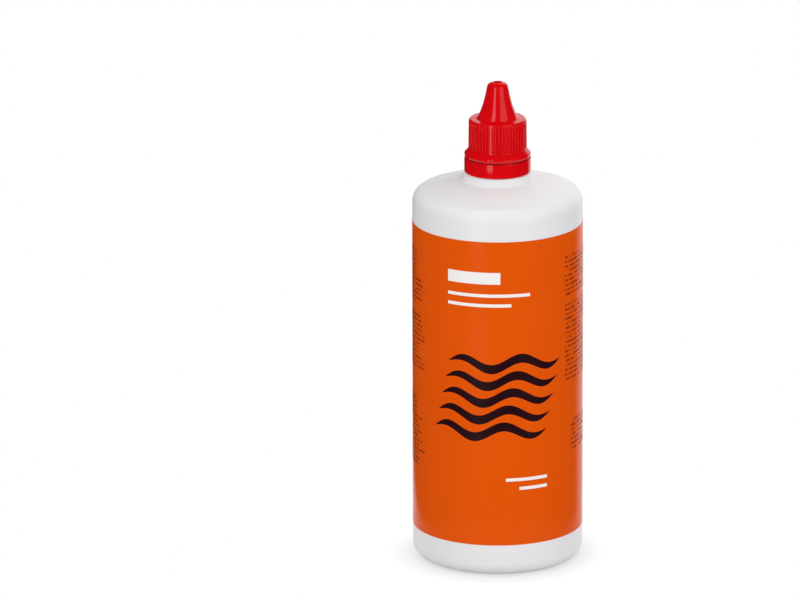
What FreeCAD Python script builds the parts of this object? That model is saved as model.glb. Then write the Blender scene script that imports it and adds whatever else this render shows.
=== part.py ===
"""Parametric squeeze bottle for contact lens solution, in millimetres.

The bottle stands on the XY plane with its axis on +Z. The front of the label faces -Y.
Every piece but its ribs and bridges is a revolved profile, drawn from the sizes in the sheet.
"""

import FreeCAD, Part
import math
import os
from types import SimpleNamespace

import Sketcher

# Each driving size: its alias, its value in millimetres (or degrees, a count or a share), and its meaning.
SIZES = (
    ("bottle_diameter", "61.7", "outside of the bare bottle wall"),
    ("wall", "1.0", "wall of the blown bottle"),
    ("base_corner", "5.0", "round between the base and the wall"),
    ("standing_ring_width", "3.6", "flat ring that the bottle stands on"),
    ("pushup_height", "2.2", "rise of the pushed-up base"),
    ("pushup_run", "2.4", "slope between the standing ring and the pushed-up plate"),
    ("wall_height", "133.8", "from the table to the start of the shoulder round"),
    ("shoulder_round", "4.5", "round between the wall and the dome"),
    ("dome_slope", "15.0", "degrees that the dome rises towards the neck"),
    ("collar_diameter", "22.4", "collar at the foot of the neck, under the tamper ring"),
    ("collar_gap", "0.4", "between the collar and the tamper ring"),
    ("collar_round", "0.7", "hollow round at the foot of the collar, as a share of its height"),
    ("neck_diameter", "19.2", "plain neck between the collar and the bead"),
    ("neck_bore", "13.6", "hole through the neck"),
    ("neck_height", "27.2", "from the start of the shoulder round to the rim of the neck"),
    ("thread_core_diameter", "16.8", "neck inside the thread"),
    ("bead_diameter", "20.9", "bead that keeps the tamper ring on the neck"),
    ("bead_drop", "13.7", "from the rim of the neck to the underside of the bead"),
    ("bead_land", "0.9", "straight part of the bead"),
    ("bead_slope", "1.2", "height of the slope above the bead"),
    ("label_height", "114.4", "height of the label"),
    ("label_base", "12.2", "from the table to the lower edge of the label"),
    ("label_film", "0.10", "thickness of the label"),
    ("label_glue", "0.05", "glue between the label and the bottle"),
    ("label_seam", "1.6", "gap between the ends of the label at the back"),
    ("plug_clearance", "0.05", "between the plug and the neck bore"),
    ("plug_depth", "7.0", "length of the plug inside the neck"),
    ("plug_wall", "1.0", "wall of the plug and its nozzle"),
    ("plug_flange_diameter", "16.2", "flange of the plug on the rim of the neck"),
    ("plug_flange_height", "1.2", "thickness of that flange"),
    ("nozzle_base_diameter", "9.2", "nozzle where it leaves the flange"),
    ("nozzle_tip_diameter", "4.4", "nozzle below its rounded tip"),
    ("nozzle_height", "10.4", "nozzle above the flange"),
    ("nozzle_bevel", "0.6", "bevel at the tip of the nozzle"),
    ("orifice_diameter", "1.4", "hole that the drops leave by"),
    ("orifice_length", "2.0", "straight part of that hole"),
    ("seat_clearance", "0.05", "between the plug flange and the seat in the cap"),
    ("cap_bore", "18.5", "hole in the cap round the thread"),
    ("cap_seat_height", "11.8", "from the foot of the cap to the seat inside it"),
    ("foot_diameter", "23.5", "lower edge of the flared foot"),
    ("foot_rise", "1.2", "from the lower edge to the widest part of the foot"),
    ("foot_widest_diameter", "24.24", "widest part of the foot"),
    ("foot_flare", "1.9", "height of the slope from the foot in to the skirt"),
    ("skirt_diameter", "20.7", "skirt between the ribs"),
    ("skirt_edge", "0.6", "bevel at the upper edge of the skirt"),
    ("cap_shoulder_height", "14.1", "from the foot to the ledge round the cone"),
    ("cone_base_diameter", "14.6", "cone where it meets the ledge"),
    ("cone_tip_diameter", "7.24", "cone below its rounded tip"),
    ("cone_height", "13.5", "cone above the ledge"),
    ("cone_waist_diameter", "10.0", "cone half way up, where its side is hollow"),
    ("cone_tip_bevel", "0.9", "bevel at the tip of the cone"),
    ("cone_wall", "1.5", "wall of the cone"),
    ("tip_recess_diameter", "3.4", "dimple in the tip of the cone"),
    ("tip_recess_depth", "0.6", "depth of that dimple"),
    ("tip_plate", "1.6", "thickness of the tip under the dimple"),
    ("pin_diameter", "0.9", "sealing pin inside the cone"),
    ("pin_reach", "0.8", "length of the pin inside the hole of the nozzle"),
    ("rib_count", "50", "ribs round the skirt"),
    ("rib_width", "1.2", "rib at its buried root"),
    ("rib_crest", "0.25", "flat along the crest of a rib"),
    ("rib_rise", "0.26", "height of a rib above the skirt"),
    ("rib_root", "0.3", "part of a rib that is buried in the skirt"),
    ("rib_margin", "0.2", "plain skirt above and below the ribs"),
    ("ring_diameter", "24.2", "outside of the tamper ring"),
    ("ring_height", "5.1", "height of the tamper ring"),
    ("ring_wall", "1.1", "wall of the tamper ring"),
    ("ring_edge", "0.35", "bevel at the lower edge of the ring"),
    ("ring_gap", "0.5", "slit between the tamper ring and the cap"),
    ("ring_clearance", "0.4", "between the claws and the neck and bead"),
    ("claw_height", "1.2", "straight part of the claws inside the ring"),
    ("bridge_count", "8", "bridges between the ring and the cap"),
    ("bridge_width", "1.1", "bridge along the ring"),
    ("bridge_depth", "0.6", "bridge across the ring"),
    ("bridge_break", "0.05", "break between a bridge and the cap"),
)


class Size:
    """A size that knows its number and the sheet expression that gives it."""

    def __init__(self, number, text):
        self.number = number
        self.text = text

    def __add__(self, other):
        return Size(self.number + other.number, f"({self.text} + {other.text})")

    def __sub__(self, other):
        return Size(self.number - other.number, f"({self.text} - {other.text})")

    def __mul__(self, other):
        return Size(self.number * other.number, f"({self.text} * {other.text})")

    def half(self):
        return Size(self.number / 2, f"({self.text} / 2)")


def degrees(number):
    """A fixed angle as a size."""
    return Size(number, f"({number})")


def sine(angle):
    """Sine of an angle size in degrees."""
    return Size(math.sin(math.radians(angle.number)), f"sin({angle.text} * 1 deg)")


def cosine(angle):
    """Cosine of an angle size in degrees."""
    return Size(math.cos(math.radians(angle.number)), f"cos({angle.text} * 1 deg)")


def tangent(angle):
    """Tangent of an angle size in degrees."""
    return Size(math.tan(math.radians(angle.number)), f"tan({angle.text} * 1 deg)")


def fill_sheet(sheet):
    """Write the sizes into the sheet and return them by alias."""
    sizes = {}
    for row, (alias, value, meaning) in enumerate(SIZES, start=1):
        sheet.set(f"A{row}", alias)
        sheet.set(f"B{row}", value)
        sheet.set(f"C{row}", meaning)
        sheet.setAlias(f"B{row}", alias)
        sizes[alias] = Size(float(value), f"{sheet.Name}.{alias}")
    return SimpleNamespace(**sizes)


def origin_feature(body, role):
    """Plane or axis of a body's own origin."""
    for feature in body.Origin.OriginFeatures:
        if feature.Role == role:
            return feature
    raise LookupError(role)


def short_steps(x, y, radius, first, last, count):
    """Points between the ends of a round about (x, y), whose straight steps keep its facets few."""
    points = []
    for index in range(1, count):
        angle = first + (last - first) * Size(index / count, f"({index} / {count})")
        points.append((x + radius * cosine(angle), y + radius * sine(angle)))
    return points


def bind(sketch, size, *constraint):
    """Add a dimension to a sketch and bind it to its sheet expression."""
    index = sketch.addConstraint(Sketcher.Constraint(*constraint, size.number))
    sketch.setExpression(f"Constraints[{index}]", size.text)


def closed_profile(body, name, plane, points):
    """Sketch of one closed outline on a plane of the body's own origin; None puts a point on that axis."""
    sketch = body.newObject("Sketcher::SketchObject", name)
    sketch.AttachmentSupport = (origin_feature(body, plane), [""])
    sketch.MapMode = "FlatFace"
    places = []
    for x, y in points:
        places.append(FreeCAD.Vector(x.number if x else 0, y.number if y else 0, 0))
    for index, place in enumerate(places):
        sketch.addGeometry(Part.LineSegment(place, places[(index + 1) % len(places)]))
    for index, (x, y) in enumerate(points):
        following = (index + 1) % len(points)
        sketch.addConstraint(Sketcher.Constraint("Coincident", index, 2, following, 1))
        if x:
            bind(sketch, x, "DistanceX", -1, 1, index, 1)
        else:
            sketch.addConstraint(Sketcher.Constraint("PointOnObject", index, 1, -2))
        if y:
            bind(sketch, y, "DistanceY", -1, 1, index, 1)
        else:
            sketch.addConstraint(Sketcher.Constraint("PointOnObject", index, 1, -1))
    return sketch


def new_body(doc, label):
    """Empty body whose label names the piece."""
    body = doc.addObject("PartDesign::Body", f"{label}_body")
    body.Label = label
    body.Placement = FreeCAD.Placement()
    return body


def revolve(body, sketch):
    """Full turn of a profile about the bottle's axis."""
    turned = body.newObject("PartDesign::Revolution", f"{sketch.Name}_turn")
    turned.Profile = sketch
    turned.ReferenceAxis = (sketch, ["V_Axis"])
    turned.Angle = 360
    return turned


def around_axis(doc, body, feature, count):
    """Repeat a feature of a body round the bottle's axis."""
    doc.recompute()
    pattern = body.newObject("PartDesign::PolarPattern", f"{feature.Name}_round")
    pattern.Originals = [feature]
    pattern.Axis = (origin_feature(body, "Z_Axis"), [""])
    pattern.Angle = 360
    pattern.setExpression("Occurrences", count.text)
    body.Tip = pattern
    return pattern


def raised_pad(body, sketch, height, base):
    """Pad a flat sketch upwards from a height above the table."""
    sketch.setExpression("AttachmentOffset.Base.z", base.text)
    pad = body.newObject("PartDesign::Pad", f"{sketch.Name}_pad")
    pad.Profile = sketch
    pad.setExpression("Length", height.text)
    return pad


def heights(s):
    """Levels above the table that more than one piece shares."""
    rim = s.wall_height + s.neck_height
    flange_top = rim + s.plug_flange_height
    seat = flange_top + s.seat_clearance
    foot = seat - s.cap_seat_height
    ring_top = foot - s.ring_gap
    ring_low = ring_top - s.ring_height
    return SimpleNamespace(
        rim=rim, flange_top=flange_top, seat=seat, foot=foot, ring_top=ring_top, ring_low=ring_low
    )


def make_bottle(doc, s, level):
    """Blown bottle as one thin shell: pushed-up base, wall, dome, collar, and neck with the bead."""
    body = new_body(doc, "bottle")
    radius = s.bottle_diameter.half()
    base_edge = radius - s.base_corner
    ring_inside = base_edge - s.standing_ring_width
    plate = ring_inside - s.pushup_run
    steepest = degrees(90) - s.dome_slope
    lean_in = sine(s.dome_slope)
    lean_up = cosine(s.dome_slope)
    dome_edge = radius - s.shoulder_round + s.shoulder_round * lean_in
    dome_low = s.wall_height + s.shoulder_round * lean_up
    rise = tangent(s.dome_slope)
    collar = s.collar_diameter.half()
    collar_top = level.ring_low - s.collar_gap
    fillet = s.collar_round * (collar_top - dome_low - (dome_edge - collar) * rise)
    fillet_foot = collar + fillet - fillet * lean_in
    fillet_low = dome_low + (dome_edge - fillet_foot) * rise
    fillet_top = fillet_low + fillet * lean_up
    neck = s.neck_diameter.half()
    bead_low = level.rim - s.bead_drop
    bead_high = bead_low + s.bead_land
    bead = s.bead_diameter.half()
    core = s.thread_core_diameter.half()
    bore = s.neck_bore.half()
    inner_edge = dome_edge - s.wall * lean_in
    inner_low = dome_low - s.wall * lean_up
    bore_foot = inner_low + (inner_edge - bore) * rise
    inside = radius - s.wall
    profile = closed_profile(body, "bottle_profile", "XZ_Plane", (
        (None, s.pushup_height),
        (plate, s.pushup_height),
        (ring_inside, None),
        (base_edge, None),
        *short_steps(base_edge, s.base_corner, s.base_corner, degrees(-90), degrees(0), 3),
        (radius, s.base_corner),
        (radius, s.wall_height),
        *short_steps(radius - s.shoulder_round, s.wall_height, s.shoulder_round, degrees(0), steepest, 4),
        (dome_edge, dome_low),
        (fillet_foot, fillet_low),
        *short_steps(collar + fillet, fillet_top, fillet, steepest + degrees(180), degrees(180), 2),
        (collar, fillet_top),
        (collar, collar_top),
        (neck, collar_top),
        (neck, bead_low),
        (bead, bead_low),
        (bead, bead_high),
        (core, bead_high + s.bead_slope),
        (core, level.rim),
        (bore, level.rim),
        (bore, bore_foot),
        (inner_edge, inner_low),
        (inside, s.wall_height),
        (inside, s.base_corner),
        (base_edge, s.wall),
        (ring_inside, s.wall),
        (plate, s.pushup_height + s.wall),
        (None, s.pushup_height + s.wall),
    ))
    revolve(body, profile)
    return body


def make_label(doc, s):
    """Film label wrapped round the wall, with its seam at the back."""
    body = new_body(doc, "label")
    inner = s.bottle_diameter.half() + s.label_glue
    outer = inner + s.label_film
    top = s.label_base + s.label_height
    profile = closed_profile(body, "label_profile", "XZ_Plane", (
        (inner, s.label_base),
        (outer, s.label_base),
        (outer, top),
        (inner, top),
    ))
    wrap = revolve(body, profile)
    seam_angle = f"{s.label_seam.text} / ({outer.text} * pi) * 180 deg"
    wrap.setExpression("Angle", f"360 deg - {seam_angle}")
    body.Placement = FreeCAD.Placement(FreeCAD.Vector(), FreeCAD.Rotation(FreeCAD.Vector(0, 0, 1), 90))
    body.setExpression("Placement.Rotation.Angle", f"90 deg + {seam_angle} / 2")
    return body


def make_dropper_insert(doc, s, level):
    """Nozzle plug: hollow stem in the neck, flange on the rim, and a tapered nozzle with its drop hole."""
    body = new_body(doc, "dropper_insert")
    stem = s.neck_bore.half() - s.plug_clearance
    stem_inside = stem - s.plug_wall
    stem_low = level.rim - s.plug_depth
    flange = s.plug_flange_diameter.half()
    nozzle = s.nozzle_base_diameter.half()
    tip = s.nozzle_tip_diameter.half()
    tip_top = level.flange_top + s.nozzle_height
    hole = s.orifice_diameter.half()
    profile = closed_profile(body, "plug_profile", "XZ_Plane", (
        (stem_inside, stem_low),
        (stem, stem_low),
        (stem, level.rim),
        (flange, level.rim),
        (flange, level.flange_top),
        (nozzle, level.flange_top),
        (tip, tip_top - s.nozzle_bevel),
        (tip - s.nozzle_bevel, tip_top),
        (hole, tip_top),
        (hole, tip_top - s.orifice_length),
        (nozzle - s.plug_wall, level.rim),
        (stem_inside, level.rim),
    ))
    revolve(body, profile)
    return body


def make_screw_cap(doc, s, level):
    """Cap with a hollow cone over the nozzle, a sealing pin, a ribbed skirt and a flared foot."""
    body = new_body(doc, "screw_cap")
    bore = s.cap_bore.half()
    foot_widest = level.foot + s.foot_rise
    flare_top = foot_widest + s.foot_flare
    skirt = s.skirt_diameter.half()
    ledge = level.foot + s.cap_shoulder_height
    cone_base = s.cone_base_diameter.half()
    cone_tip = s.cone_tip_diameter.half()
    cap_top = ledge + s.cone_height
    recess_floor = cap_top - s.tip_recess_depth
    recess = s.tip_recess_diameter.half()
    cavity_top = recess_floor - s.tip_plate
    pin = s.pin_diameter.half()
    pin_low = level.flange_top + s.nozzle_height - s.pin_reach
    profile = closed_profile(body, "cap_profile", "XZ_Plane", (
        (bore, level.foot),
        (s.foot_diameter.half(), level.foot),
        (s.foot_widest_diameter.half(), foot_widest),
        (skirt, flare_top),
        (skirt, ledge - s.skirt_edge),
        (skirt - s.skirt_edge, ledge),
        (cone_base, ledge),
        (s.cone_waist_diameter.half(), ledge + (s.cone_height - s.cone_tip_bevel).half()),
        (cone_tip, cap_top - s.cone_tip_bevel),
        (cone_tip - s.cone_tip_bevel, cap_top),
        (recess, cap_top),
        (recess, recess_floor),
        (None, recess_floor),
        (None, pin_low),
        (pin, pin_low),
        (pin, cavity_top),
        (cone_tip - s.cone_wall, cavity_top),
        (cone_base - s.cone_wall, level.seat),
        (bore, level.seat),
    ))
    revolve(body, profile)
    root = s.rib_width.half()
    crest = s.rib_crest.half()
    rib_inside = skirt - s.rib_root
    rib_outside = skirt + s.rib_rise
    rib = closed_profile(body, "rib_profile", "XY_Plane", (
        (rib_inside, root),
        (rib_inside, Size(-root.number, f"-{root.text}")),
        (rib_outside, Size(-crest.number, f"-{crest.text}")),
        (rib_outside, crest),
    ))
    rib_base = flare_top + s.rib_margin
    pad = raised_pad(body, rib, ledge - s.skirt_edge - s.rib_margin - rib_base, rib_base)
    around_axis(doc, body, pad, s.rib_count)
    return body


def make_tamper_ring(doc, s, level):
    """Tamper ring round the neck, with claws under the bead and broken bridges on top."""
    body = new_body(doc, "tamper_ring")
    outside = s.ring_diameter.half()
    inside = outside - s.ring_wall
    claw = s.neck_diameter.half() + s.ring_clearance
    claw_top = level.rim - s.bead_drop - s.ring_clearance
    profile = closed_profile(body, "ring_profile", "XZ_Plane", (
        (inside, level.ring_low),
        (outside - s.ring_edge, level.ring_low),
        (outside, level.ring_low + s.ring_edge),
        (outside, level.ring_top),
        (inside, level.ring_top),
        (inside, claw_top),
        (claw, claw_top),
        (claw, claw_top - s.claw_height),
    ))
    revolve(body, profile)
    half_width = s.bridge_width.half()
    bridge_in = inside + (s.ring_wall - s.bridge_depth).half()
    bridge_out = bridge_in + s.bridge_depth
    bridge = closed_profile(body, "bridge_profile", "XY_Plane", (
        (bridge_in, Size(-half_width.number, f"-{half_width.text}")),
        (bridge_out, Size(-half_width.number, f"-{half_width.text}")),
        (bridge_out, half_width),
        (bridge_in, half_width),
    ))
    half_pitch = FreeCAD.Rotation(FreeCAD.Vector(0, 0, 1), 180 / s.bridge_count.number)
    bridge.AttachmentOffset = FreeCAD.Placement(FreeCAD.Vector(), half_pitch)
    bridge.setExpression("AttachmentOffset.Rotation.Angle", f"180 deg / {s.bridge_count.text}")
    bridge_base = level.ring_top - s.bridge_depth
    pad = raised_pad(body, bridge, level.foot - s.bridge_break - bridge_base, bridge_base)
    around_axis(doc, body, pad, s.bridge_count)
    return body


def check(doc, bodies):
    """Stop if any object of the document failed or any piece is not one valid solid."""
    for item in doc.Objects:
        if "Invalid" in item.State or "Error" in item.State:
            raise RuntimeError(f"{item.Name} failed: {item.State}")
    for body in bodies:
        if body.Shape.isNull() or not body.Shape.isValid():
            raise RuntimeError(f"{body.Label} has no valid shape")
        if len(body.Shape.Solids) != 1:
            raise RuntimeError(f"{body.Label} has {len(body.Shape.Solids)} solids")


def main():
    """Build every piece, check it and write its STEP file."""
    doc = FreeCAD.newDocument("lens_solution_bottle")
    sheet = doc.addObject("Spreadsheet::Sheet", "sizes")
    s = fill_sheet(sheet)
    doc.recompute()
    level = heights(s)
    bodies = (
        make_bottle(doc, s, level),
        make_label(doc, s),
        make_dropper_insert(doc, s, level),
        make_screw_cap(doc, s, level),
        make_tamper_ring(doc, s, level),
    )
    doc.recompute()
    check(doc, bodies)
    os.makedirs("parts", exist_ok=True)
    for body in bodies:
        body.Shape.exportStep(f"parts/{body.Label}.step")
        box = body.Shape.BoundBox
        print(f"{body.Label}: {body.Shape.Volume:.1f} mm3, z {box.ZMin:.2f} to {box.ZMax:.2f}")


main()
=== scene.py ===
"""Studio scene of a squeeze bottle for contact lens solution.

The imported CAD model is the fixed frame. Each class below dresses one sub-assembly: it builds a finer mesh in
the place of its CAD node, gives it a procedural material and hands it to the body that carries it. Sizes are
in millimetres and angles in radians unless a docstring says otherwise, while Blender works in metres. The
front of the label faces -Y.
"""

import logging
import math
from dataclasses import dataclass, field, replace
from enum import Enum
from typing import Any, Sequence

import bmesh
import bpy
from bpy.types import ID, Material, Mesh, Node, NodeSocket, NodeTree, Object
from mathutils import Matrix, Vector

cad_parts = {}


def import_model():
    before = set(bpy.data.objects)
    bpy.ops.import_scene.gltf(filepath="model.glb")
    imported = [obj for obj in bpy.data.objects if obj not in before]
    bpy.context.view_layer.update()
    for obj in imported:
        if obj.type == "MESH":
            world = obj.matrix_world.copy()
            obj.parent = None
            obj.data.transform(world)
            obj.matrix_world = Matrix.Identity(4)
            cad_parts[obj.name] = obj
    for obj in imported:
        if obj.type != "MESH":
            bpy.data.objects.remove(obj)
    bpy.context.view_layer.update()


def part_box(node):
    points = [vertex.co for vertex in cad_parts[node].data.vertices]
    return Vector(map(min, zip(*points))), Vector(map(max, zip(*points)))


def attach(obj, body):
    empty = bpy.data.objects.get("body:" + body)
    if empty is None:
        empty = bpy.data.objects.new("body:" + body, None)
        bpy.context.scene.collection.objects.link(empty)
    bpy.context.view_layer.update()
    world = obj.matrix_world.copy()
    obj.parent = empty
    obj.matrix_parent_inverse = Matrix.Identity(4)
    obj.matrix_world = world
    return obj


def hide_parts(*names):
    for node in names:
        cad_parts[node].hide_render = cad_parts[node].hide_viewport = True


LOG = logging.getLogger("lens_solution_bottle")
MM = 0.001
FULL_TURN = 2.0 * math.pi
# Distance, in millimetres, below which a point counts as lying on the axis or on a seam.
NEAR_ZERO = 1e-4
# Largest turn between two points of a round, and the share of a side that a round may use up.
ROUND_STEP = math.radians(9.0)
ROUND_SHARE = 0.98
# Edges that turn by more than this stay sharp in the shading.
SHARP_ANGLE = math.radians(38.0)
# Share of its section that is left at the ends of a rod.
ROD_END = 0.25
# Thread ridges: points in a turn, sides of the section, and share of the length over which each end tapers.
THREAD_POINTS = 40
THREAD_SIDES = 10
THREAD_RUN_OUT = 0.06
# Kinds of node that are used most.
MATH = "ShaderNodeMath"
REMAP = "ShaderNodeMapRange"
JOIN = "ShaderNodeCombineXYZ"

Point = tuple[float, float]
Sizes = dict[str, float | int]
Inputs = dict[str | int, Any]


class Carrier(Enum):
    """Bodies of the frame that pieces ride on."""

    BOTTLE = "bottle"
    RING = "tamper_ring"
    CAP = "screw_cap"


class Slot(Enum):
    """Material slots of the record."""

    WHITE = "white_bottle"
    ORANGE = "orange_label"
    NATURAL = "natural_plug"
    RED = "red_cap"


def set_inputs(tree: NodeTree, node: Node, inputs: Inputs) -> None:
    """Set or link inputs of a node.

    Args:
        tree: Tree that holds the node.
        node: Node that gets the inputs.
        inputs: Input name or number, with a constant, a socket or the name of one of the tree's inputs.
    """
    for key, value in inputs.items():
        if isinstance(value, str):
            value = tree.nodes["Group Input"].outputs[value]
        if isinstance(value, NodeSocket):
            tree.links.new(value, node.inputs[key])
        else:
            node.inputs[key].default_value = value


def add_node(tree: NodeTree, kind: str, inputs: Inputs | None = None, **settings: Any) -> NodeSocket | None:
    """Add one node with its settings and its inputs.

    Args:
        tree: Tree that gets the node.
        kind: Type name of the node.
        inputs: Inputs to set or link, as for set_inputs.
        **settings: Properties of the node.

    Returns:
        The node's first output that is in use, if it has one.
    """
    node = tree.nodes.new(kind)
    for name, value in settings.items():
        setattr(node, name, value)
    set_inputs(tree, node, inputs or {})
    return next((socket for socket in node.outputs if socket.enabled), None)


def linear(code: str) -> tuple[float, float, float, float]:
    """Turn an sRGB hex colour into linear light.

    Args:
        code: Colour such as "#D40911".

    Returns:
        Linear red, green and blue with full alpha.
    """
    channels = (int(code[start:start + 2], 16) / 255.0 for start in (1, 3, 5))
    red, green, blue = (c / 12.92 if c <= 0.04045 else ((c + 0.055) / 1.055) ** 2.4 for c in channels)
    return red, green, blue, 1.0


@dataclass(frozen=True)
class Finish:
    """Moulded or printed plastic with mottled colour, uneven gloss and a fine relief.

    Attributes:
        name: Material and process.
        colour: Main colour.
        mottle: Colour of the faint clouds in it.
        mottle_size: Width of those clouds.
        gloss: Lowest and highest roughness.
        relief_size: Width of the soft waves of the surface.
        relief_depth: Height of those waves.
        grain_size: Width of the fine grain.
        grain_depth: Height of the fine grain.
        ior: Index of refraction.
        shine: Strength of reflections, where 0.5 is that of the plain index of refraction.
        glow: Share of light that travels under the surface.
        glow_depth: How far it travels.
        glow_reach: Share of that depth that red, green and blue light reach.
        clear: Share of light that passes through.
        gloss_span: Noise values that give the lowest and the highest roughness.
    """

    name: str
    colour: str
    mottle: str
    mottle_size: float
    gloss: Point
    relief_size: float
    relief_depth: float
    grain_size: float
    grain_depth: float
    ior: float
    shine: float = 0.5
    glow: float = 0.0
    glow_depth: float = 1.0
    glow_reach: tuple[float, float, float] = (1.0, 0.9, 0.8)
    clear: float = 0.0
    gloss_span: Point = (0.3, 0.7)

    def material(self) -> Material:
        """Build the procedural material of this finish.

        Returns:
            The material.
        """
        material = bpy.data.materials.new(self.name)
        material.use_nodes = True
        tree = material.node_tree
        place = add_node(tree, "ShaderNodeTexCoord").node.outputs["Object"]
        clouds, sheen, waves, grain = (
            add_node(tree, "ShaderNodeTexNoise", {
                "Vector": place, "Scale": finer / (size * MM), "Detail": detail, "Roughness": roughness})
            for size, finer, detail, roughness in (
                (self.mottle_size, 1.0, 3.0, 0.55), (self.mottle_size, 2.3, 4.0, 0.5),
                (self.relief_size, 1.0, 1.5, 0.5), (self.grain_size, 1.0, 2.0, 0.5)))
        tint = add_node(tree, "ShaderNodeMix", {
            0: clouds, 6: linear(self.colour), 7: linear(self.mottle)}, data_type="RGBA")
        rough = add_node(tree, REMAP, dict(enumerate((sheen, *self.gloss_span, *self.gloss))))
        relief = add_node(tree, "ShaderNodeBump", {"Height": waves, "Distance": self.relief_depth * MM})
        bump = add_node(tree, "ShaderNodeBump", {
            "Height": grain, "Distance": self.grain_depth * MM, "Normal": relief})
        set_inputs(tree, tree.nodes["Principled BSDF"], {
            "Base Color": tint, "Roughness": rough, "Normal": bump, "IOR": self.ior,
            "Specular IOR Level": self.shine, "Subsurface Weight": self.glow,
            "Subsurface Radius": self.glow_reach, "Subsurface Scale": self.glow_depth * MM,
            "Transmission Weight": self.clear})
        return material


# Blown high-density polyethylene: cool white, satin, slightly wavy from the mould, and a little translucent.
BLOWN_WHITE = Finish(
    "hdpe_blow_moulded_white", "#E9E8E9", "#E5E4E5", mottle_size=24.0, gloss=(0.30, 0.42),
    relief_size=9.0, relief_depth=0.012, grain_size=0.7, grain_depth=0.003, ior=1.54,
    shine=0.4, glow=0.10, glow_depth=1.6)
# Reverse-printed polypropylene film: even orange ink under a clear gloss, a little duller in clouds.
ORANGE_FILM = Finish(
    "polypropylene_film_printed_orange", "#E25603", "#DE5102", mottle_size=34.0, gloss=(0.16, 0.24),
    relief_size=40.0, relief_depth=0.010, grain_size=2.0, grain_depth=0.0006, ior=1.49, shine=0.08)
# Screen inks on the film: thin, a touch duller than the film itself.
DARK_INK = replace(
    ORANGE_FILM, name="screen_ink_aubergine", colour="#22090F", mottle="#290C14", mottle_size=8.0,
    gloss=(0.28, 0.38), shine=0.12)
WHITE_INK = replace(DARK_INK, name="screen_ink_white", colour="#F3F0EE", mottle="#ECE8E6")
# Injection-moulded polypropylene: deep glossy red with faint flow clouds and a polished-tool surface.
MOULDED_RED = Finish(
    "polypropylene_injection_moulded_red", "#D9040D", "#D0030B", mottle_size=7.0, gloss=(0.07, 0.12),
    relief_size=6.0, relief_depth=0.004, grain_size=0.6, grain_depth=0.0008, ior=1.50,
    shine=0.36, glow=0.03, glow_depth=0.6)
# Natural low-density polyethylene: milky and waxy, with no pigment.
NATURAL_LDPE = Finish(
    "ldpe_injection_moulded_natural", "#EDEDE6", "#E6E6DD", mottle_size=6.0, gloss=(0.36, 0.48),
    relief_size=4.0, relief_depth=0.008, grain_size=0.5, grain_depth=0.002, ior=1.52,
    glow=0.45, glow_depth=2.5, clear=0.12)


@dataclass(frozen=True)
class Corner:
    """Corner of a lathe outline, with the round on it."""

    radius: float
    height: float
    round: float = 0.0

    def place(self) -> Vector:
        """Corner as a point of the outline's plane."""
        return Vector((self.radius, self.height))


def rounded(corners: Sequence[Corner], closed: bool) -> list[Point]:
    """Round the corners of an outline with tangent arcs.

    Args:
        corners: Corners in order.
        closed: Whether the last corner joins the first.

    Returns:
        Points of the outline, radius and height.
    """
    points: list[Point] = []
    for index, corner in enumerate(corners):
        here = corner.place()
        at_end = not closed and index in (0, len(corners) - 1)
        if at_end or corner.round == 0.0:
            points.append((here.x, here.y))
            continue
        back = corners[index - 1].place() - here
        ahead = corners[(index + 1) % len(corners)].place() - here
        half = back.angle(ahead) / 2.0
        reach = min(corner.round / math.tan(half), ROUND_SHARE * back.length, ROUND_SHARE * ahead.length)
        radius = reach * math.tan(half)
        start = here + back.normalized() * reach
        end = here + ahead.normalized() * reach
        centre = here + (back.normalized() + ahead.normalized()).normalized() * (radius / math.sin(half))
        first = math.atan2(start.y - centre.y, start.x - centre.x)
        turn = math.atan2(end.y - centre.y, end.x - centre.x) - first
        turn = (turn + math.pi) % FULL_TURN - math.pi
        steps = max(2, math.ceil(abs(turn) / ROUND_STEP))
        for step in range(steps + 1):
            angle = first + turn * step / steps
            points.append((centre.x + radius * math.cos(angle), centre.y + radius * math.sin(angle)))
    return points


def new_object(data: ID) -> Object:
    """Link a mesh, a lamp or a camera into the scene as an object of the same name.

    Args:
        data: What the object holds.

    Returns:
        The object, at the origin.
    """
    obj = bpy.data.objects.new(data.name, data)
    bpy.context.scene.collection.objects.link(obj)
    return obj


def smooth_object(mesh: Mesh) -> Object:
    """Link a smooth-shaded mesh into the scene.

    Args:
        mesh: Finished mesh, named after its piece.

    Returns:
        The object.
    """
    mesh.shade_smooth()
    mesh.set_sharp_from_angle(angle=SHARP_ANGLE)
    return new_object(mesh)


def lathe(name: str, material: Material, outline: Sequence[Point], closed: bool, angles: Sequence[float],
          full: bool = True) -> Object:
    """Turn an outline about the bottle's axis.

    Args:
        name: Name of the piece.
        material: Material of the piece.
        outline: Points of the outline, radius and height.
        closed: Whether the outline is a loop; otherwise it starts and ends on the axis.
        angles: Directions of the columns.
        full: Whether the last column joins the first; otherwise both ends are capped.

    Returns:
        The turned piece, in metres.
    """
    mesh = bmesh.new()
    rings: list[list[bmesh.types.BMVert]] = []
    for radius, height in outline:
        if radius < NEAR_ZERO:
            pole = mesh.verts.new((0.0, 0.0, height * MM))
            rings.append([pole] * len(angles))
        else:
            rings.append([mesh.verts.new((
                radius * MM * math.cos(a), radius * MM * math.sin(a), height * MM)) for a in angles])
    nexts = rings[1:] + (rings[:1] if closed else [])
    columns = range(len(angles) if full else len(angles) - 1)
    for low, high in zip(rings, nexts):
        for column in columns:
            after = (column + 1) % len(angles)
            loop = [low[column], low[after], high[after], high[column]]
            mesh.faces.new(list(dict.fromkeys(loop)))
    if not full:
        mesh.faces.new([ring[0] for ring in rings])
        mesh.faces.new([ring[-1] for ring in reversed(rings)])
    bmesh.ops.recalc_face_normals(mesh, faces=mesh.faces)
    data = bpy.data.meshes.new(name)
    mesh.to_mesh(data)
    mesh.free()
    data.materials.append(material)
    return smooth_object(data)


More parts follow.
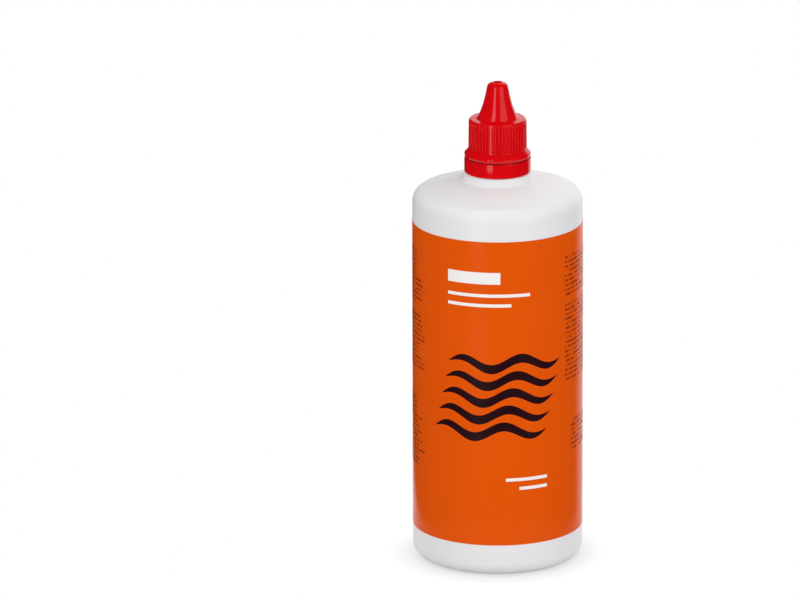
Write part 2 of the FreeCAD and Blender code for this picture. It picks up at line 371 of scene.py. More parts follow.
def even_angles(count: int) -> list[float]:
    """Evenly spaced directions round the axis."""
    return [FULL_TURN * index / count for index in range(count)]


def node_box(node: str) -> tuple[Vector, Vector]:
    """Lowest and highest corner of a CAD node at rest."""
    low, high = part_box(node)
    return Vector(low) / MM, Vector(high) / MM


@dataclass
class Recipe:
    """Geometry Nodes tree under construction, with named inputs for its sizes.

    Attributes:
        name: Name of the piece that the tree makes.
        lengths: Input name and length.
        others: Input name and value of counts, shares and turns.
    """

    name: str
    lengths: Sizes
    others: Sizes = field(default_factory=dict)

    def __post_init__(self) -> None:
        """Make the tree and one input for each size."""
        self.tree = bpy.data.node_groups.new(f"{self.name}_nodes", "GeometryNodeTree")
        self.sizes = {name: length * MM for name, length in self.lengths.items()} | self.others
        self.keys: dict[str, str] = {}
        for name, value in self.sizes.items():
            kind = "NodeSocketInt" if isinstance(value, int) else "NodeSocketFloat"
            key = self.tree.interface.new_socket(name, in_out="INPUT", socket_type=kind)
            self.keys[name] = key.identifier
        self.tree.interface.new_socket("Geometry", in_out="OUTPUT", socket_type="NodeSocketGeometry")
        self.add("NodeGroupInput")

    def add(self, kind: str, inputs: Inputs | None = None, **settings: Any) -> NodeSocket | None:
        """Add a node to this tree, as add_node does."""
        return add_node(self.tree, kind, inputs, **settings)

    def spot(self) -> tuple[NodeSocket, NodeSocket]:
        """X and Y of each point."""
        split = self.add("ShaderNodeSeparateXYZ", {0: self.add("GeometryNodeInputPosition")}).node
        return split.outputs["X"], split.outputs["Y"]

    def tapered_rod(self, curve: NodeSocket, sides: int, run_out: float) -> NodeSocket:
        """Sweep a round section, with the named size Section as its radius, and let both ends run out.

        Args:
            curve: Curve to follow.
            sides: Sides of the section.
            run_out: Share of the length over which each end tapers.

        Returns:
            The swept mesh.
        """
        share = self.add("GeometryNodeSplineParameter")
        from_end = self.add(MATH, {0: share, 1: 0.5}, operation="PINGPONG")
        swell = self.add(REMAP, {"Value": from_end, 2: run_out, 3: ROD_END, 4: 1.0})
        section = self.add("GeometryNodeCurvePrimitiveCircle", {"Resolution": sides, "Radius": "Section"})
        return self.add("GeometryNodeCurveToMesh", {
            "Curve": curve, "Profile Curve": section, "Scale": swell, "Fill Caps": True})

    def around_axis(self, piece: NodeSocket, first: float = 0.0) -> NodeSocket:
        """Repeat a piece, drawn on the +X side, round the axis, as often as the named size Count says.

        Args:
            piece: Piece to repeat.
            first: How far the first one is turned.

        Returns:
            The copies.
        """
        row = self.add("GeometryNodeMeshLine", {"Count": "Count", "Offset": (0.0, 0.0, 0.0)})
        index = self.add("GeometryNodeInputIndex")
        angle = self.add(REMAP, {"Value": index, 2: "Count", 3: first, 4: first + FULL_TURN}, clamp=False)
        turn = self.add(JOIN, {"Z": angle})
        return self.add("GeometryNodeInstanceOnPoints", {"Points": row, "Instance": piece, "Rotation": turn})

    def wrapped(self, flat: NodeSocket) -> NodeSocket:
        """Wrap a flat sheet round the axis at the named size Front, its X along the girth and its Y up.

        Args:
            flat: Sheet or instances in the XY plane.

        Returns:
            The bent sheet, whose middle stands at Y = Front.
        """
        flat = self.add("GeometryNodeRealizeInstances", {"Geometry": flat})
        along, up = self.spot()
        angle = self.add(MATH, {0: along, 1: "Front"}, operation="DIVIDE")
        ahead = self.add(JOIN, {"Y": "Front", "Z": up})
        place = self.add("ShaderNodeVectorRotate", {
            "Vector": ahead, "Angle": angle}, rotation_type="Z_AXIS", invert=True)
        return self.add("GeometryNodeSetPosition", {"Geometry": flat, "Position": place})

    def bake(self, geometry: NodeSocket, material: Material, thickness: float = 0.0) -> Object:
        """Finish the tree, run it once and keep its result as a plain mesh.

        Args:
            geometry: Result of the tree.
            material: Material of the piece.
            thickness: Wall to give to a sheet.

        Returns:
            The finished piece.
        """
        real = self.add("GeometryNodeRealizeInstances", {"Geometry": geometry})
        dressed = self.add("GeometryNodeSetMaterial", {"Geometry": real, "Material": material})
        self.add("NodeGroupOutput", {"Geometry": dressed})
        maker = new_object(bpy.data.meshes.new(f"{self.name}_maker"))
        nodes = maker.modifiers.new("nodes", "NODES")
        nodes.node_group = self.tree
        for name, value in self.sizes.items():
            nodes[self.keys[name]] = value
        if thickness:
            wall = maker.modifiers.new("wall", "SOLIDIFY")
            wall.thickness = thickness * MM
            wall.offset = 1.0
        evaluated = maker.evaluated_get(bpy.context.evaluated_depsgraph_get())
        mesh = bpy.data.meshes.new_from_object(evaluated)
        mesh.name = self.name
        mesh.materials.clear()
        mesh.materials.append(material)
        maker.modifiers.clear()
        bpy.data.objects.remove(maker)
        return smooth_object(mesh)


def helix(name: str, material: Material, lengths: Sizes, turns: float) -> Object:
    """Thread ridge: a round section along a right-handed helix.

    Args:
        name: Name of the piece.
        material: Material of the piece.
        lengths: Radius, Pitch, Section and Start height.
        turns: Number of turns.

    Returns:
        The thread.
    """
    recipe = Recipe(name, lengths, {"Turns": turns})
    rise = recipe.add(MATH, {0: "Pitch", 1: "Turns"}, operation="MULTIPLY")
    spiral = recipe.add("GeometryNodeCurveSpiral", {
        "Resolution": THREAD_POINTS, "Rotations": "Turns", "Start Radius": "Radius", "End Radius": "Radius",
        "Height": rise, "Reverse": True})
    lift = recipe.add(JOIN, {"Z": "Start height"})
    placed = recipe.add("GeometryNodeTransform", {"Geometry": spiral, "Translation": lift})
    return recipe.bake(recipe.tapered_rod(placed, THREAD_SIDES, THREAD_RUN_OUT), material)


def settle(piece: Object, body: Carrier, node: str | None = None) -> None:
    """Hand a piece to the frame.

    Args:
        piece: Finished piece.
        body: Body that carries it.
        node: CAD node that it stands for, if any.
    """
    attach(piece, body.value)
    if node is not None:
        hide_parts(node)
    LOG.info("%s rides on %s, %d faces", piece.name, body.value, len(piece.data.polygons))


@dataclass
class Bottle:
    """Blown bottle with a pushed-up base, a domed shoulder and a threaded neck."""

    wall: float = 1.0
    base_corner: float = 5.0
    standing_ring: float = 3.6
    ring_round: float = 1.2
    pushup_height: float = 2.2
    pushup_run: float = 2.4
    pushup_round: float = 2.0
    wall_height: float = 133.8
    shoulder_round: float = 4.5
    dome_slope: float = math.radians(15.0)
    neck_radius: float = 9.6
    collar_radius: float = 11.8
    collar_gap: float = 0.15
    collar_foot: float = 13.6
    collar_fillet: float = 0.9
    neck_bore: float = 6.8
    throat_round: float = 1.0
    thread_core: float = 8.4
    bead_radius: float = 10.45
    bead_drop: float = 13.7
    bead_land: float = 0.9
    bead_slope: float = 1.2
    edge: float = 0.3
    thread_section: float = 0.62
    thread_pitch: float = 3.2
    thread_turns: float = 1.9
    thread_drop: float = 8.6
    seam_width: float = 0.36
    seam_height: float = 0.05
    pinch_length: float = 34.0
    pinch_section: float = 0.4
    pinch_points: int = 33
    pinch_sides: int = 12
    pinch_run_out: float = 0.04
    columns: int = 160

    def __post_init__(self) -> None:
        """Take the outside radius, the rim and the top of the collar from the frame."""
        _, high = node_box("bottle")
        ring_low, _ = node_box("tamper_ring")
        self.radius = high.x
        self.rim = high.z
        self.collar_top = ring_low.z - self.collar_gap

    def outline(self) -> list[Point]:
        """Outline of the shell, from the axis under the base, up the outside and down the inside.

        Returns:
            Points of the outline, radius and height.
        """
        ring_inside = self.radius - self.base_corner - self.standing_ring
        plate = ring_inside - self.pushup_run
        slope = math.tan(self.dome_slope)
        dome_edge = self.radius - self.shoulder_round * (1.0 - math.sin(self.dome_slope))
        dome_low = self.wall_height + self.shoulder_round * math.cos(self.dome_slope)
        bead_low = self.rim - self.bead_drop
        bead_high = bead_low + self.bead_land
        inside = self.radius - self.wall
        inner_drop = self.wall / math.cos(self.dome_slope)

        def dome(radius: float) -> float:
            """Height of the dome's straight slope at a radius."""
            return dome_low + (dome_edge - radius) * slope

        return rounded((
            Corner(0.0, self.pushup_height),
            Corner(plate, self.pushup_height, self.pushup_round),
            Corner(ring_inside, 0.0, self.ring_round),
            Corner(self.radius, 0.0, self.base_corner),
            Corner(self.radius, dome(self.radius), self.shoulder_round),
            Corner(self.collar_foot, dome(self.collar_foot), self.collar_fillet),
            Corner(self.collar_radius, self.collar_top, self.edge),
            Corner(self.neck_radius, self.collar_top, self.edge),
            Corner(self.neck_radius, bead_low, self.edge),
            Corner(self.bead_radius, bead_low, self.edge),
            Corner(self.bead_radius, bead_high, self.edge),
            Corner(self.thread_core, bead_high + self.bead_slope, self.edge),
            Corner(self.thread_core, self.rim, self.edge),
            Corner(self.neck_bore, self.rim, self.edge),
            Corner(self.neck_bore, dome(self.neck_bore) - inner_drop, self.throat_round),
            Corner(inside, dome(inside) - inner_drop, self.shoulder_round - self.wall),
            Corner(inside, self.wall, self.base_corner - self.wall),
            Corner(ring_inside, self.wall, self.ring_round),
            Corner(plate, self.pushup_height + self.wall, self.pushup_round),
            Corner(0.0, self.pushup_height + self.wall),
        ), closed=False)

    def angles(self) -> list[float]:
        """Directions of the columns, with close ones beside the two mould seams.

        Returns:
            Angles in rising order.
        """
        beside = self.seam_width / 2.0 / self.radius
        extra = [side + offset for side in (0.0, math.pi) for offset in (-beside, beside)]
        return sorted(angle % FULL_TURN for angle in even_angles(self.columns) + extra)

    def raise_seams(self, shell: Object) -> None:
        """Lift the mould seam's hairline ridge on the outside of the wall and the shoulder.

        Args:
            shell: Shell of the bottle.
        """
        for vertex in shell.data.vertices:
            place = vertex.co
            off_neck = Vector((place.x, place.y)).length > self.neck_radius * MM
            on_seam = abs(place.y) < NEAR_ZERO * MM and self.base_corner * MM < place.z < self.rim * MM
            if off_neck and on_seam and vertex.normal.dot(place) > 0.0:
                place += vertex.normal * self.seam_height * MM

    def build(self) -> None:
        """Make the shell, its thread and the bar under its base."""
        white = BLOWN_WHITE.material()
        shell = lathe("bottle_shell", white, self.outline(), False, self.angles())
        self.raise_seams(shell)
        settle(shell, Carrier.BOTTLE, "bottle")
        thread = helix("neck_thread", white, {
            "Radius": self.thread_core, "Pitch": self.thread_pitch, "Section": self.thread_section,
            "Start height": self.rim - self.thread_drop}, self.thread_turns)
        settle(thread, Carrier.BOTTLE)
        settle(self.pinch_off(white), Carrier.BOTTLE)

    def pinch_off(self, white: Material) -> Object:
        """Bar under the base where the mould pinched the tube shut, in line with the mould seams.

        Args:
            white: Material of the bottle.

        Returns:
            The bar.
        """
        recipe = Recipe("pinch_off_bar", {
            "Section": self.pinch_section, "Length": self.pinch_length,
            "Left end": -self.pinch_length / 2.0, "Height": self.pushup_height})
        start = recipe.add(JOIN, {"X": "Left end", "Z": "Height"})
        line = recipe.add("GeometryNodeCurvePrimitiveLine", {
            "Start": start, "Direction": (1.0, 0.0, 0.0), "Length": "Length"}, mode="DIRECTION")
        line = recipe.add("GeometryNodeResampleCurve", {"Curve": line, "Count": self.pinch_points})
        return recipe.bake(recipe.tapered_rod(line, self.pinch_sides, self.pinch_run_out), white)


@dataclass(frozen=True)
class Bar:
    """Plain printed bar: its left end and middle height on the label, and its size."""

    left: float
    height: float
    length: float
    thick: float


@dataclass(frozen=True)
class TextBlock:
    """Block of greeked small print: its middle direction in degrees, upper edge, width and rows."""

    direction: float
    top: float
    width: float
    rows: int
    seed: int


@dataclass
class Label:
    """Film label with a plain generic print: wave stripes, bars and greeked rows."""

    seam: float = 1.6
    film: float = 0.10
    ink: float = 0.02
    columns: int = 200
    row_pitch: float = 1.75
    row_height: float = 0.95
    cell: float = 0.6
    stroke: float = 0.3
    low_stroke: float = 0.6
    nearest_end: float = 0.24
    farthest_end: float = 0.52
    ink_share: float = 0.76
    bars: tuple[Bar, ...] = (
        Bar(-19.0, 113.0, 20.0, 4.4),
        Bar(-19.0, 106.5, 31.0, 1.2),
        Bar(-19.0, 102.8, 24.0, 1.2),
        Bar(3.0, 37.0, 16.0, 1.2),
        Bar(8.0, 33.6, 11.0, 1.2),
    )
    blocks: tuple[TextBlock, ...] = (
        TextBlock(80.0, 117.5, 30.0, 9, 1),
        TextBlock(80.0, 99.5, 30.0, 17, 2),
        TextBlock(80.0, 55.0, 22.0, 7, 3),
        TextBlock(-87.0, 117.5, 30.0, 12, 4),
        TextBlock(-87.0, 93.5, 30.0, 12, 5),
        TextBlock(-87.0, 62.0, 30.0, 15, 6),
        TextBlock(141.0, 117.5, 28.0, 19, 7),
        TextBlock(141.0, 81.5, 28.0, 15, 8),
        TextBlock(-146.0, 117.5, 28.0, 14, 9),
        TextBlock(-146.0, 90.0, 28.0, 22, 10),
    )
    stripe_length: float = 44.0
    stripe_width: float = 3.4
    stripe_pitch: float = 6.4
    stripe_shift: float = 1.6
    stripe_rows: int = 5
    stripe_middle: float = 68.0
    stripe_taper: float = 4.0
    stripe_points: tuple[int, int] = (89, 5)
    wave_length: float = 22.0
    wave_height: float = 2.0

    def __post_init__(self) -> None:
        """Take the film's radius and edges from the frame."""
        low, high = node_box("label")
        self.radius = -low.y
        self.bottom = low.z
        self.top = high.z

    def build(self) -> None:
        """Make the film and each colour of its print."""
        self.build_film()
        dark = DARK_INK.material()
        white = WHITE_INK.material()
        settle(self.stripes(dark), Carrier.BOTTLE)
        for number, bar in enumerate(self.bars, start=1):
            settle(self.bar_print(f"label_bar_{number}", bar, white), Carrier.BOTTLE)
        for block in self.blocks:
            settle(self.small_print(block, dark), Carrier.BOTTLE)

    def build_film(self) -> None:
        """Make the film, wrapped from one side of the rear seam to the other."""
        half_seam = self.seam / 2.0 / self.radius
        start = math.pi / 2.0 + half_seam
        turn = FULL_TURN - 2.0 * half_seam
        angles = [start + turn * index / self.columns for index in range(self.columns + 1)]
        inner = self.radius - self.film
        film = lathe("label_film", ORANGE_FILM.material(), rounded((
            Corner(inner, self.bottom), Corner(self.radius, self.bottom),
            Corner(self.radius, self.top), Corner(inner, self.top)), closed=True), True, angles, full=False)
        settle(film, Carrier.BOTTLE, "label")

    def stripes(self, ink: Material) -> Object:
        """Print of tapered wave stripes across the front.

        Args:
            ink: Material of the ink.

        Returns:
            The print.
        """
        half = (self.stripe_rows - 1) / 2.0
        recipe = Recipe("label_wave_print", {
            "Front": self.ink - self.radius, "Stripe length": self.stripe_length,
            "Stripe width": self.stripe_width, "Wave length": self.wave_length,
            "Wave height": self.wave_height, "Row shift": self.stripe_shift, "Row pitch": self.stripe_pitch,
            "First across": -half * self.stripe_shift,
            "First height": self.stripe_middle - half * self.stripe_pitch}, {"Rows": self.stripe_rows})
        add = recipe.add
        stripe = add("GeometryNodeMeshGrid", {
            "Size X": "Stripe length", "Size Y": "Stripe width",
            "Vertices X": self.stripe_points[0], "Vertices Y": self.stripe_points[1]})
        along, up = recipe.spot()
        share = add(MATH, {0: along, 1: "Stripe length"}, operation="DIVIDE")
        ends = add(MATH, {0: share, 1: self.stripe_taper}, operation="POWER")
        slim = add(REMAP, {"Value": ends, 2: 0.5 ** self.stripe_taper, 3: 1.0, 4: 0.0})
        width = add(MATH, {0: up, 1: slim}, operation="MULTIPLY")
        phase = add(REMAP, {"Value": along, 2: "Wave length", 4: FULL_TURN}, clamp=False)
        bent = add(MATH, {0: phase}, operation="SINE")
        upward = add(MATH, {0: bent, 1: "Wave height", 2: width}, operation="MULTIPLY_ADD")
        place = add(JOIN, {"X": along, "Y": upward})
        shaped = add("GeometryNodeSetPosition", {"Geometry": stripe, "Position": place})
        closed = add("GeometryNodeMergeByDistance", {"Geometry": shaped, "Distance": self.ink * MM})
        first = add(JOIN, {"X": "First across", "Y": "First height"})
        step = add(JOIN, {"X": "Row shift", "Y": "Row pitch"})
        rows = add("GeometryNodeMeshLine", {"Count": "Rows", "Start Location": first, "Offset": step})
        spread = add("GeometryNodeInstanceOnPoints", {"Points": rows, "Instance": closed})
        return recipe.bake(recipe.wrapped(spread), ink, 2.0 * self.ink)

    def small_print(self, block: TextBlock, ink: Material) -> Object:
        """Rows of upright strokes that stand for small print, with chance gaps, heights and row lengths.

        Args:
            block: Where the rows are.
            ink: Material of the ink.

        Returns:
            The print.
        """
        height = (block.rows - 1) * self.row_pitch
        recipe = Recipe(f"label_small_print_{block.seed:02d}", {
            "Front": self.ink - self.radius, "Width": block.width, "Height": height,
            "Row pitch": self.row_pitch, "Row height": self.row_height, "Stroke": self.stroke,
            "Nearest end": self.nearest_end * block.width, "Farthest end": self.farthest_end * block.width,
            "Across": math.radians(block.direction) * self.radius, "Middle": block.top - height / 2.0}, {
            "Rows": block.rows, "Cells": round(block.width / self.cell), "Low stroke": self.low_stroke,
            "Ink share": self.ink_share, "Seed": block.seed})
        add = recipe.add
        spots = add("GeometryNodeMeshGrid", {
            "Size X": "Width", "Size Y": "Height", "Vertices X": "Cells", "Vertices Y": "Rows"})
        stroke = add("GeometryNodeMeshGrid", {
            "Size X": "Stroke", "Size Y": "Row height", "Vertices X": 2, "Vertices Y": 2})
        tall = add("FunctionNodeRandomValue", {2: "Low stroke", 3: 1.0, "Seed": "Seed"})
        stretch = add(JOIN, {"X": 1.0, "Y": tall, "Z": 1.0})
        along, up = recipe.spot()
        level = add(MATH, {0: up, 1: "Row pitch"}, operation="DIVIDE")
        row = add(MATH, {0: level}, operation="ROUND")
        end = add("FunctionNodeRandomValue", {
            2: "Nearest end", 3: "Farthest end", "ID": row, "Seed": "Seed"})
        inside = add(MATH, {0: along, 1: end}, operation="LESS_THAN")
        inked = add("FunctionNodeRandomValue", {
            "Probability": "Ink share", "Seed": "Seed"}, data_type="BOOLEAN")
        kept = add("FunctionNodeBooleanMath", {0: inked, 1: inside}, operation="AND")
        rows = add("GeometryNodeInstanceOnPoints", {
            "Points": spots, "Selection": kept, "Instance": stroke, "Scale": stretch})
        middle = add(JOIN, {"X": "Across", "Y": "Middle"})
        moved = add("GeometryNodeTransform", {"Geometry": rows, "Translation": middle})
        return recipe.bake(recipe.wrapped(moved), ink, 2.0 * self.ink)

    def bar_print(self, name: str, bar: Bar, ink: Material) -> Object:
        """One plain bar of ink along the girth.

        Args:
            name: Name of the piece.
            bar: Place and size of the bar.
            ink: Material of the ink.

        Returns:
            The print.
        """
        inner, outer = self.radius - self.ink, self.radius + self.ink
        low, high = bar.height - bar.thick / 2.0, bar.height + bar.thick / 2.0
        count = math.ceil(bar.length)
        first = bar.left / self.radius - math.pi / 2.0
        angles = [first + bar.length / self.radius * index / count for index in range(count + 1)]
        outline = [(inner, low), (outer, low), (outer, high), (inner, high)]
        return lathe(name, ink, outline, True, angles, full=False)


@dataclass
class DropperInsert:
    """Nozzle plug with its stem in the neck."""

    stem_radius: float = 6.75
    wall: float = 1.0
    depth: float = 7.0
    lead_in: float = 0.8
    lead_round: float = 0.3
    flange_height: float = 1.2
    flange_round: float = 0.35
    nozzle_base: float = 4.6
    nozzle_tip: float = 2.2
    nozzle_round: float = 0.8
    orifice: float = 0.7
    orifice_length: float = 2.0
    orifice_round: float = 0.15
    inner_round: float = 0.5
    edge: float = 0.2
    columns: int = 96

    def __post_init__(self) -> None:
        """Take the flange's radius and the plug's ends from the frame."""
        low, high = node_box("dropper_insert")
        self.flange = high.x
        self.low = low.z
        self.tip = high.z

    def build(self) -> None:
        """Make the plug."""
        rim = self.low + self.depth
        flange_top = rim + self.flange_height
        inside = self.stem_radius - self.wall
        plug = lathe("nozzle_plug", NATURAL_LDPE.material(), rounded((
            Corner(inside, self.low, self.edge),
            Corner(self.stem_radius - self.lead_in / 2.0, self.low, self.edge),
            Corner(self.stem_radius, self.low + self.lead_in, self.lead_round),
            Corner(self.stem_radius, rim),
            Corner(self.flange, rim, self.edge),
            Corner(self.flange, flange_top, self.flange_round),
            Corner(self.nozzle_base, flange_top, self.nozzle_round),
            Corner(self.nozzle_tip, self.tip, self.nozzle_round),
            Corner(self.orifice, self.tip, self.orifice_round),
            Corner(self.orifice, self.tip - self.orifice_length),
            Corner(self.nozzle_base - self.wall, rim, self.inner_round),
            Corner(inside, rim, self.inner_round),
        ), closed=True), True, even_angles(self.columns))
        settle(plug, Carrier.BOTTLE, "dropper_insert")


@dataclass
class Closure:
    """Red screw cap with its ribs, thread and sealing pin, and the tamper ring under it."""

    cap_bore: float = 9.25
    bore_edge: float = 0.4
    seat_height: float = 11.8
    foot_radius: float = 11.75
    foot_widest: float = 12.12
    foot_round: float = 0.45
    foot_rise: float = 1.2
    foot_flare: float = 1.9
    flare_round: float = 0.35
    skirt_low: float = 10.36
    skirt_high: float = 10.22
    ledge_height: float = 14.1
    ledge_round: float = 0.45
    cone_base: float = 7.35
    cone_fillet: float = 0.9
    cone_waist: float = 5.2
    waist_height: float = 5.05
    waist_round: float = 30.0
    cone_tip: float = 3.6
    tip_fall: float = 0.62
    tip_round: float = 1.7
    cone_wall: float = 1.5
    recess: float = 1.6
    recess_depth: float = 0.6
    recess_edge: float = 0.1
    tip_plate: float = 1.6
    cavity_round: float = 0.5
    inner_round: float = 0.3
    edge: float = 0.2
    pin_radius: float = 0.45
    pin_reach: float = 0.8
    rib_count: int = 50
    rib_section: float = 0.38
    rib_sunk: float = 0.12
    rib_below: float = 0.1
    rib_points: int = 25
    rib_sides: int = 10
    rib_run_out: float = 0.03
    thread_section: float = 0.5
    thread_pitch: float = 3.2
    thread_turns: float = 1.5
    thread_low: float = 3.55
    ring_height: float = 5.25
    ring_wall: float = 1.1
    ring_edge: float = 0.15
    ring_foot_round: float = 0.4
    claw_radius: float = 10.0
    claw_top: float = 146.9
    claw_height: float = 1.2
    bridge_count: int = 8
    bridge_width: float = 1.1
    bridge_depth: float = 0.6
    columns: int = 144

    def __post_init__(self) -> None:
        """Take the heights of the cap and the ring from the frame."""
        ring_low, ring_high = node_box("tamper_ring")
        cap_low, cap_high = node_box("screw_cap")
        _, plug_high = node_box("dropper_insert")
        self.foot = cap_low.z
        self.top = cap_high.z
        self.nozzle_top = plug_high.z
        self.ring_bottom = ring_low.z
        self.ring_radius = ring_high.x
        self.bridge_top = ring_high.z
        self.ring_top = self.ring_bottom + self.ring_height
        self.flare_top = self.foot + self.foot_rise + self.foot_flare
        self.red = MOULDED_RED.material()

    def build(self) -> None:
        """Make the cap, its ribs and thread, the ring and its bridges."""
        settle(self.shell(), Carrier.CAP, "screw_cap")
        settle(self.ribs(), Carrier.CAP)
        thread = helix("cap_thread", self.red, {
            "Radius": self.cap_bore, "Pitch": self.thread_pitch, "Section": self.thread_section,
            "Start height": self.foot + self.thread_low}, self.thread_turns)
        settle(thread, Carrier.CAP)
        settle(self.ring(), Carrier.RING, "tamper_ring")
        settle(self.bridges(), Carrier.RING)

    def shell(self) -> Object:
        """Cap shell, from the dimple in its tip, down the outside and up the inside to the pin.

        Returns:
            The shell.
        """
        ledge = self.foot + self.ledge_height
        seat = self.foot + self.seat_height
        recess_floor = self.top - self.recess_depth
        cavity = recess_floor - self.tip_plate
        pin_end = self.nozzle_top - self.pin_reach
        return lathe("cap_shell", self.red, rounded((
            Corner(0.0, recess_floor),
            Corner(self.recess, recess_floor, self.inner_round),
            Corner(self.recess, self.top, self.recess_edge),
            Corner(self.cone_tip, self.top - self.tip_fall, self.tip_round),
            Corner(self.cone_waist, ledge + self.waist_height, self.waist_round),
            Corner(self.cone_base, ledge, self.cone_fillet),
            Corner(self.skirt_high, ledge, self.ledge_round),
            Corner(self.skirt_low, self.flare_top, self.flare_round),
            Corner(self.foot_widest, self.foot + self.foot_rise, self.foot_round),
            Corner(self.foot_radius, self.foot, self.edge),
            Corner(self.cap_bore, self.foot, self.bore_edge),
            Corner(self.cap_bore, seat, self.inner_round),
            Corner(self.cone_base - self.cone_wall, seat, self.inner_round),
            Corner(self.cone_tip - self.cone_wall, cavity, self.cavity_round),
            Corner(self.pin_radius, cavity, self.inner_round),
            Corner(self.pin_radius, pin_end, self.edge),
            Corner(0.0, pin_end),
        ), closed=False), False, even_angles(self.columns))

    def ribs(self) -> Object:
        """Fine grip ribs up the skirt, one rod repeated round the axis.

        Returns:
            The ribs.
        """
        recipe = Recipe("cap_grip_ribs", {
            "Section": self.rib_section,
            "Low radius": self.skirt_low - self.rib_sunk, "Low height": self.flare_top - self.rib_below,
            "High radius": self.skirt_high - self.rib_sunk,
            "High height": self.foot + self.ledge_height - self.ledge_round}, {"Count": self.rib_count})
        start, end = (
            recipe.add(JOIN, {"X": f"{at} radius", "Z": f"{at} height"})
            for at in ("Low", "High"))
        line = recipe.add("GeometryNodeCurvePrimitiveLine", {"Start": start, "End": end})
        line = recipe.add("GeometryNodeResampleCurve", {"Curve": line, "Count": self.rib_points})
        rib = recipe.tapered_rod(line, self.rib_sides, self.rib_run_out)
        return recipe.bake(recipe.around_axis(rib), self.red)

    def ring(self) -> Object:
        """Tamper ring, a closed section turned about the axis.

        Returns:
            The ring.
        """
        inside = self.ring_radius - self.ring_wall
        return lathe("tamper_band", self.red, rounded((
            Corner(inside, self.ring_bottom, self.ring_edge),
            Corner(self.ring_radius, self.ring_bottom, self.ring_foot_round),
            Corner(self.ring_radius, self.ring_top, self.ring_edge),
            Corner(inside, self.ring_top, self.ring_edge),
            Corner(inside, self.claw_top, self.ring_edge),
            Corner(self.claw_radius, self.claw_top, self.ring_edge),
            Corner(self.claw_radius, self.claw_top - self.claw_height, self.ring_edge),
        ), closed=True), True, even_angles(self.columns))

    def bridges(self) -> Object:
        """Broken bridges on the upper edge of the ring.

        Returns:
            The bridges.
        """
        tall = self.bridge_top - self.ring_top + self.bridge_depth
        recipe = Recipe("tamper_bridges", {
            "Depth": self.bridge_depth, "Width": self.bridge_width, "Tall": tall,
            "Radius": self.ring_radius - self.ring_wall / 2.0,
            "Middle": self.bridge_top - tall / 2.0}, {"Count": self.bridge_count})
        size = recipe.add(JOIN, {"X": "Depth", "Y": "Width", "Z": "Tall"})
        block = recipe.add("GeometryNodeMeshCube", {"Size": size})
        place = recipe.add(JOIN, {"X": "Radius", "Z": "Middle"})
        placed = recipe.add("GeometryNodeTransform", {"Geometry": block, "Translation": place})
        return recipe.bake(recipe.around_axis(placed, math.pi / self.bridge_count), self.red)


@dataclass(frozen=True)
class Softbox:
    """Soft studio lamp: its place and size in metres, its power in watts, and whether gloss shows it."""

    name: str
    place: tuple[float, float, float]
    width: float
    height: float
    power: float
    mirrored: bool = True


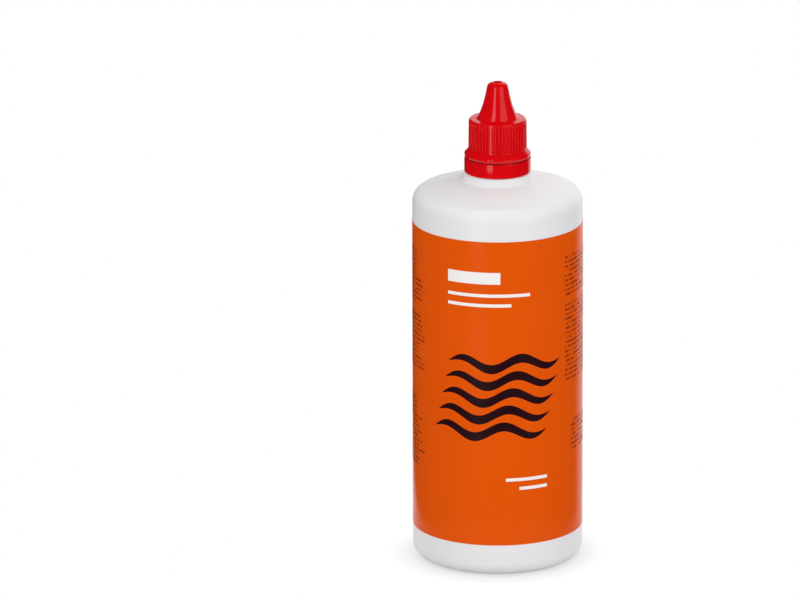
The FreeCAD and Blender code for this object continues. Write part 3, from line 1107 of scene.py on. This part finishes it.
@dataclass
class Studio:
    """Pale floor, soft light and a camera at the photograph's angle.

    The image is taken as 800 by 600 pixels, and the bottle's axis crosses it at a named pixel. The table, the
    reach of the painted contact shadow and the far limit of the view are in metres.
    """

    image_width: float = 800.0
    image_height: float = 600.0
    axis_column: float = 497.6
    aim_row: float = 336.1
    aim_height: float = 82.23
    distance: float = 4000.0
    elevation: float = 0.29104
    focal_pixels: float = 11001.0
    sensor: float = 36.0
    far_limit: float = 30.0
    table_half: float = 0.07
    table_front: float = 0.08
    table_back: float = 0.30
    table_glow: float = 0.84
    table_level: float = 1.09
    # Painted contact shadow: close to the base, ambient occlusion dims the floor's glow down to this level,
    # within this reach.
    painted_shadow_level: float = 0.72
    painted_shadow_reach: float = 0.010
    card_colour: str = "#D6D6D6"
    card_roughness: float = 0.9
    sky_light: float = 0.66
    dark_room: float = 0.02
    bright_behind: Point = (0.64, 0.74)
    bright_right: Point = (-0.25, 0.0)
    lamps: tuple[Softbox, ...] = (
        Softbox("key_softbox", (-0.53, -1.08, 0.38), 0.42, 1.30, 4.6),
        Softbox("fill_softbox", (0.80, -0.89, 0.50), 0.90, 1.20, 3.9),
        Softbox("top_softbox", (0.0, 0.20, 1.30), 1.00, 1.00, 3.2, mirrored=False),
        Softbox("rear_softbox", (0.75, 0.95, 0.50), 1.00, 1.20, 3.0, mirrored=False),
    )

    def build(self) -> None:
        """Make the floor, the light and the camera."""
        self.floor()
        self.sky()
        for lamp in self.lamps:
            self.lamp(lamp)
        self.camera()
        bpy.context.scene.view_settings.view_transform = "Standard"

    def floor(self) -> None:
        """Pale floor that shows white to the camera and keeps the soft shadow."""
        mesh = bpy.data.meshes.new("studio_floor")
        side, front, back = self.table_half, -self.table_front, self.table_back
        corners = [(-side, front, 0.0), (side, front, 0.0), (side, back, 0.0), (-side, back, 0.0)]
        mesh.from_pydata(corners, [], [(0, 1, 2, 3)])
        floor = new_object(mesh)
        # Matt white card, lit up to the photograph's white where it is seen, and darker close to the base.
        material = bpy.data.materials.new("matt_white_card")
        material.use_nodes = True
        tree = material.node_tree
        card = tree.nodes["Principled BSDF"]
        set_inputs(tree, card, {
            "Base Color": linear(self.card_colour), "Roughness": self.card_roughness,
            "Specular IOR Level": 0.0})
        rays = add_node(tree, "ShaderNodeLightPath").node.outputs
        shown = rays["Is Camera Ray"]
        for kind in ("Is Glossy Ray", "Is Transmission Ray"):
            shown = add_node(tree, MATH, {0: shown, 1: rays[kind]}, operation="MAXIMUM")
        share = add_node(tree, MATH, {0: shown, 1: self.table_glow}, operation="MULTIPLY")
        # Painted contact shadow: ambient occlusion dims the glow that the camera and reflections see close to
        # the base. This lies on top of the card's real shadow.
        near = add_node(tree, "ShaderNodeAmbientOcclusion", {"Distance": self.painted_shadow_reach}).node
        level = add_node(tree, REMAP, {
            "Value": near.outputs["AO"], 3: self.painted_shadow_level, 4: self.table_level})
        glow = add_node(tree, "ShaderNodeEmission", {"Strength": level})
        blend = add_node(tree, "ShaderNodeMixShader", {0: share, 1: card.outputs[0], 2: glow})
        set_inputs(tree, tree.nodes["Material Output"], {"Surface": blend})
        mesh.materials.append(material)

    def sky(self) -> None:
        """White surroundings for the eye, a dark room in front in reflections, and a low even light."""
        world = bpy.data.worlds.new("white_studio")
        world.use_nodes = True
        tree = world.node_tree
        rays = add_node(tree, "ShaderNodeLightPath").node.outputs
        way = add_node(tree, "ShaderNodeTexCoord").node.outputs["Generated"]
        way = add_node(tree, "ShaderNodeSeparateXYZ", {0: way}).node.outputs
        behind, right = (
            add_node(tree, REMAP, {"Value": way[axis], 1: dark, 2: bright})
            for axis, (dark, bright) in (("Y", self.bright_behind), ("X", self.bright_right)))
        lit = add_node(tree, MATH, {0: behind, 1: right}, operation="MULTIPLY")
        room = add_node(tree, REMAP, {"Value": lit, 3: self.dark_room, 4: 1.0})
        bent = add_node(tree, MATH, {
            0: rays["Is Glossy Ray"], 1: rays["Is Transmission Ray"]}, operation="MAXIMUM")
        level = add_node(tree, "ShaderNodeMix", {0: bent, 2: self.sky_light, 3: room})
        level = add_node(tree, "ShaderNodeMix", {0: rays["Is Camera Ray"], 2: level, 3: 1.0})
        set_inputs(tree, tree.nodes["Background"], {"Color": linear("#FFFFFF"), "Strength": level})
        bpy.context.scene.world = world

    def lamp(self, softbox: Softbox) -> None:
        """One soft lamp, turned to the middle of the bottle.

        Args:
            softbox: Place, size and power of the lamp.
        """
        data = bpy.data.lights.new(softbox.name, "AREA")
        data.shape = "RECTANGLE"
        data.size = softbox.width
        data.size_y = softbox.height
        data.energy = softbox.power
        lamp = new_object(data)
        lamp.location = softbox.place
        towards = Vector((0.0, 0.0, self.aim_height * MM)) - lamp.location
        lamp.rotation_euler = towards.to_track_quat("-Z", "Y").to_euler()
        lamp.visible_glossy = softbox.mirrored

    def camera(self) -> None:
        """Long-lens camera that shows the axis upright at its pixel column, with no lens shift."""
        data = bpy.data.cameras.new("photo_camera")
        data.sensor_width = self.sensor
        data.lens = self.focal_pixels / self.image_width * self.sensor
        data.clip_end = self.far_limit
        aim = Vector((0.0, 0.0, self.aim_height * MM))
        sight = Vector((0.0, math.cos(self.elevation), -math.sin(self.elevation)))
        across = self.axis_column - self.image_width / 2.0
        below = self.aim_row - self.image_height / 2.0
        in_camera = Vector((across, -below, -self.focal_pixels)).normalized()
        axes: list[Matrix] = []
        for line, up in ((sight, (0.0, 0.0, 1.0)), (in_camera, (0.0, 1.0, 0.0))):
            side = line.cross(Vector(up)).normalized()
            axes.append(Matrix((side, side.cross(line), -line)))
        turn = axes[0].transposed() @ axes[1]
        camera = new_object(data)
        camera.matrix_world = Matrix.Translation(aim - sight * self.distance * MM) @ turn.to_4x4()
        bpy.context.scene.camera = camera


def main() -> None:
    """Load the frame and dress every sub-assembly."""
    logging.basicConfig(level=logging.INFO, format="%(name)s: %(message)s")
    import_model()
    for assembly in (Bottle(), Label(), DropperInsert(), Closure(), Studio()):
        assembly.build()


if __name__ == "__main__":
    main()
